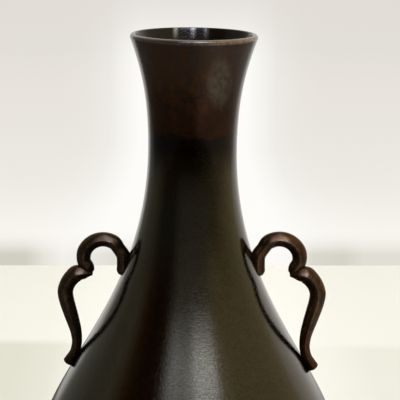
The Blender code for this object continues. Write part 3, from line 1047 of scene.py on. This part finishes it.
# Painted shadow along the foot of the wall, just above the table.
WALL_SHADOW_COLOUR = (0.638, 0.624, 0.539, 1)
WALL_SHADOW_RISE = stops((0.010, 1.0), (0.018, 0.45), (0.026, 0.10), (0.034, 0.0))
WALL_SHADOW_ACROSS = stops((-0.154, 1.0), (-0.137, 0.5), (-0.120, 0.2), (-0.078, 0.65), (-0.050, 0.7),
                     (0.060, 0.0), (0.092, 0.1), (0.108, 0.8), (0.137, 0.9), (0.156, 0.6))
GREENISH = (0.95, 1, 0.9)
CREAM = (1.0, 0.975, 0.935)
MIRRORED_WALL = stops((-1.6, 0.28, GREENISH), (-0.62, 0.30, GREENISH), (-0.50, 0.86, CREAM),
                      (1.6, 0.86, CREAM))

wall_paint, tree = new_material("wall_paint")
path = add(tree, "LightPath").outputs
part = add(tree, "SeparateXYZ", {"Vector": add(tree, "TexCoord").outputs["Object"]}).outputs
from_vase = maths(tree, "ABSOLUTE", maths(tree, "ADD", part["X"], GLOW_SIDE))
across = times(tree, from_vase, ramp(tree, part["Z"], GLOW_WIDENS))
glow = times(tree, ramp(tree, across, GLOW_ACROSS), ramp(tree, part["Z"], GLOW_FADES))
glowing = mixed(tree, glow, ramp(tree, part["Z"], WALL_RISE), GLOW_COLOUR)
# The painted shadow along the wall's foot, by height and across.
wall_shadow = times(tree, ramp(tree, part["Z"], WALL_SHADOW_RISE), ramp(tree, part["X"], WALL_SHADOW_ACROSS))
seen = shining(tree, mixed(tree, wall_shadow, glowing, WALL_SHADOW_COLOUR))
mirrored = shining(tree, ramp(tree, part["X"], MIRRORED_WALL))
not_seen = either(tree, path["Is Glossy Ray"], matt(tree, PALE_PAINT), mirrored)
wall = either(tree, path["Is Camera Ray"], not_seen, seen)
back = add(tree, "NewGeometry").outputs["Backfacing"]
clear = add(tree, "BsdfTransparent").outputs[0]
add(tree, "OutputMaterial", {"Surface": either(tree, back, wall, clear)})
finish_with(backdrop, wall_paint)
print("nodes in the wall's paint:", len(tree.nodes))

# %% [markdown]
# ## The room that the metal mirrors
#
# Dark polished bronze shows its room more than itself: a cream side on the right, a dim one on
# the left and darkness before it, under a pale ceiling with lamps. So the world is drawn as four
# rings of brightness round the vase, low, level, high and upper, and blends from one to the next
# by height. Only mirror rays see them. The camera sees pale paint beyond the wall and the table,
# and everything else gets one even fill of light.

# %% Rings of the room
# A mark is degrees from the camera's side to the right, a brightness, and a tint. The wall hides
# the part of the rings behind the vase.
DIM = (0.98, 0.98, 0.87)
RUDDY = (1.0, 0.46, 0.14)
COOL = (0.61, 0.71, 1.0)
LOW_RING = stops((-180, 0.3, DIM), (-98, 0.24, DIM), (-66, 0.05, RUDDY), (5, 0.03, RUDDY),
                 (40, 0.09, WARM), (68, 0.20, WARM), (98, 0.64, WARM), (180, 0.7, WARM))
LEVEL_RING = stops((-180, 0.3, DIM), (-98, 0.24, DIM), (-68, 0.07, DIM), (-40, 0.07, DIM),
                   (-26, 0.15), (24, 0.18), (52, 0.22, WARM), (82, 0.5, WARM), (110, 0.68, WARM),
                   (180, 0.7, WARM))
HIGH_RING = stops((-180, 0.3, DIM), (-100, 0.26, DIM), (-88, 0.32, DIM), (-71, 0.11, RUDDY),
                  (-58, 0.04, RUDDY), (-38, 0.05, RUDDY), (-20, 0.24), (22, 0.27), (42, 0.55, WARM),
                  (100, 0.64, WARM), (180, 0.7, WARM))
UPPER_RING = stops((-180, 0.3, DIM), (-88, 0.32, DIM), (-62, 0.04, RUDDY), (-35, 0.06, RUDDY),
                   (-27, 1.9, COOL), (-20, 2.6, COOL), (-11, 1.5, COOL), (0, 1.8, COOL),
                   (10, 3.9, COOL), (33, 4.9, COOL), (36, 1.0), (56, 0.75, WARM), (75, 0.58, WARM),
                   (100, 0.66, WARM), (180, 0.7, WARM))
LOW_ENDS = -6
LEVEL_STARTS = 3
LEVEL_ENDS = 12
HIGH_STARTS = 28
HIGH_ENDS = 32.5
UPPER_STARTS = 46.5
print("brightest of the upper ring:", max(max(colour) for _, colour in UPPER_RING))

# %% Room
ROOM_FILL = 1.14

world = bpy.data.worlds.new("room")
bpy.context.scene.world = world
world.use_nodes = True
tree = world.node_tree
tree.nodes.clear()
path = add(tree, "LightPath").outputs
toward = add(tree, "TexCoord").outputs["Generated"]
part = add(tree, "SeparateXYZ", {"Vector": toward}).outputs
front = times(tree, part["Y"], -1.0)
bearing = maths(tree, "DEGREES", maths(tree, "ARCTAN2", part["X"], front))
height = maths(tree, "DEGREES", maths(tree, "ARCSINE", part["Z"]))
low_ring, level_ring, high_ring, upper_ring = [
    ramp(tree, bearing, ring) for ring in (LOW_RING, LEVEL_RING, HIGH_RING, UPPER_RING)]
around = mixed(tree, span(tree, height, LOW_ENDS, LEVEL_STARTS), low_ring, level_ring)
around = mixed(tree, span(tree, height, LEVEL_ENDS, HIGH_STARTS), around, high_ring)
around = mixed(tree, span(tree, height, HIGH_ENDS, UPPER_STARTS, smooth=True), around, upper_ring)
fill = add(tree, "Background", {"Color": (1, 1, 1, 1), "Strength": ROOM_FILL}).outputs[0]
pale = add(tree, "Background", {"Color": PALE_PAINT, "Strength": 1.0}).outputs[0]
room = add(tree, "Background", {"Color": around, "Strength": 1.0}).outputs[0]
not_seen = either(tree, path["Is Glossy Ray"], fill, room)
add(tree, "OutputWorld", {"Surface": either(tree, path["Is Camera Ray"], not_seen, pale)})
print("nodes in the room:", len(tree.nodes))

# %% [markdown]
# ## Lamps
#
# A broad streak runs down the belly, brightest on its right and sharp there. It is the image of
# large soft lamps high in front and of the ceiling that they light. Two lamps hang side by side,
# the right one brighter, and the room's upper ring is the lit ceiling round them.

# %% Two soft lamps
LAMP_DISTANCE = 2.2
LAMP_ELEVATION = math.radians(50)
LAMP_WIDTH = 0.8
LAMP_HEIGHT = 0.7


def add_lamp(name, azimuth, radiance):
    """A lamp that faces the vase. Azimuth is in degrees from the camera's side to the right."""
    data = bpy.data.lights.new(name, "AREA")
    data.shape = "RECTANGLE"
    data.size = LAMP_WIDTH
    data.size_y = LAMP_HEIGHT
    data.energy = radiance * math.pi * LAMP_WIDTH * LAMP_HEIGHT
    data.color = COOL
    lamp = bpy.data.objects.new(name, data)
    bpy.context.collection.objects.link(lamp)
    turn = math.radians(azimuth)
    level = math.cos(LAMP_ELEVATION)
    away = Vector((math.sin(turn) * level, -math.cos(turn) * level, math.sin(LAMP_ELEVATION)))
    aim = Vector((0, 0, MOUTH_HEIGHT / 2))
    lamp.location = aim + LAMP_DISTANCE * away
    lamp.rotation_euler = (-away).to_track_quat("-Z", "Y").to_euler()
    print(name, round(data.energy, 1), "W")


add_lamp("lamp_middle", 19.5, 2.9)
add_lamp("lamp_left", -10, 1.0)

# %% [markdown]
# ## Which body each piece belongs to
#
# Nothing on this vase moves, so every piece rides on the one body. Each fine piece stands for
# its node of the imported model.

# %% Ride and replace
for piece in (bronze_body, bottom_disc, solder_fillet, *ears):
    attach(piece, "root")
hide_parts("vase_body")
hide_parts("base_plate")
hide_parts("base_solder_ring")
for piece, ear in zip(ears, (left_ear, right_ear)):
    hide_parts(f"handle_{ear.side}")
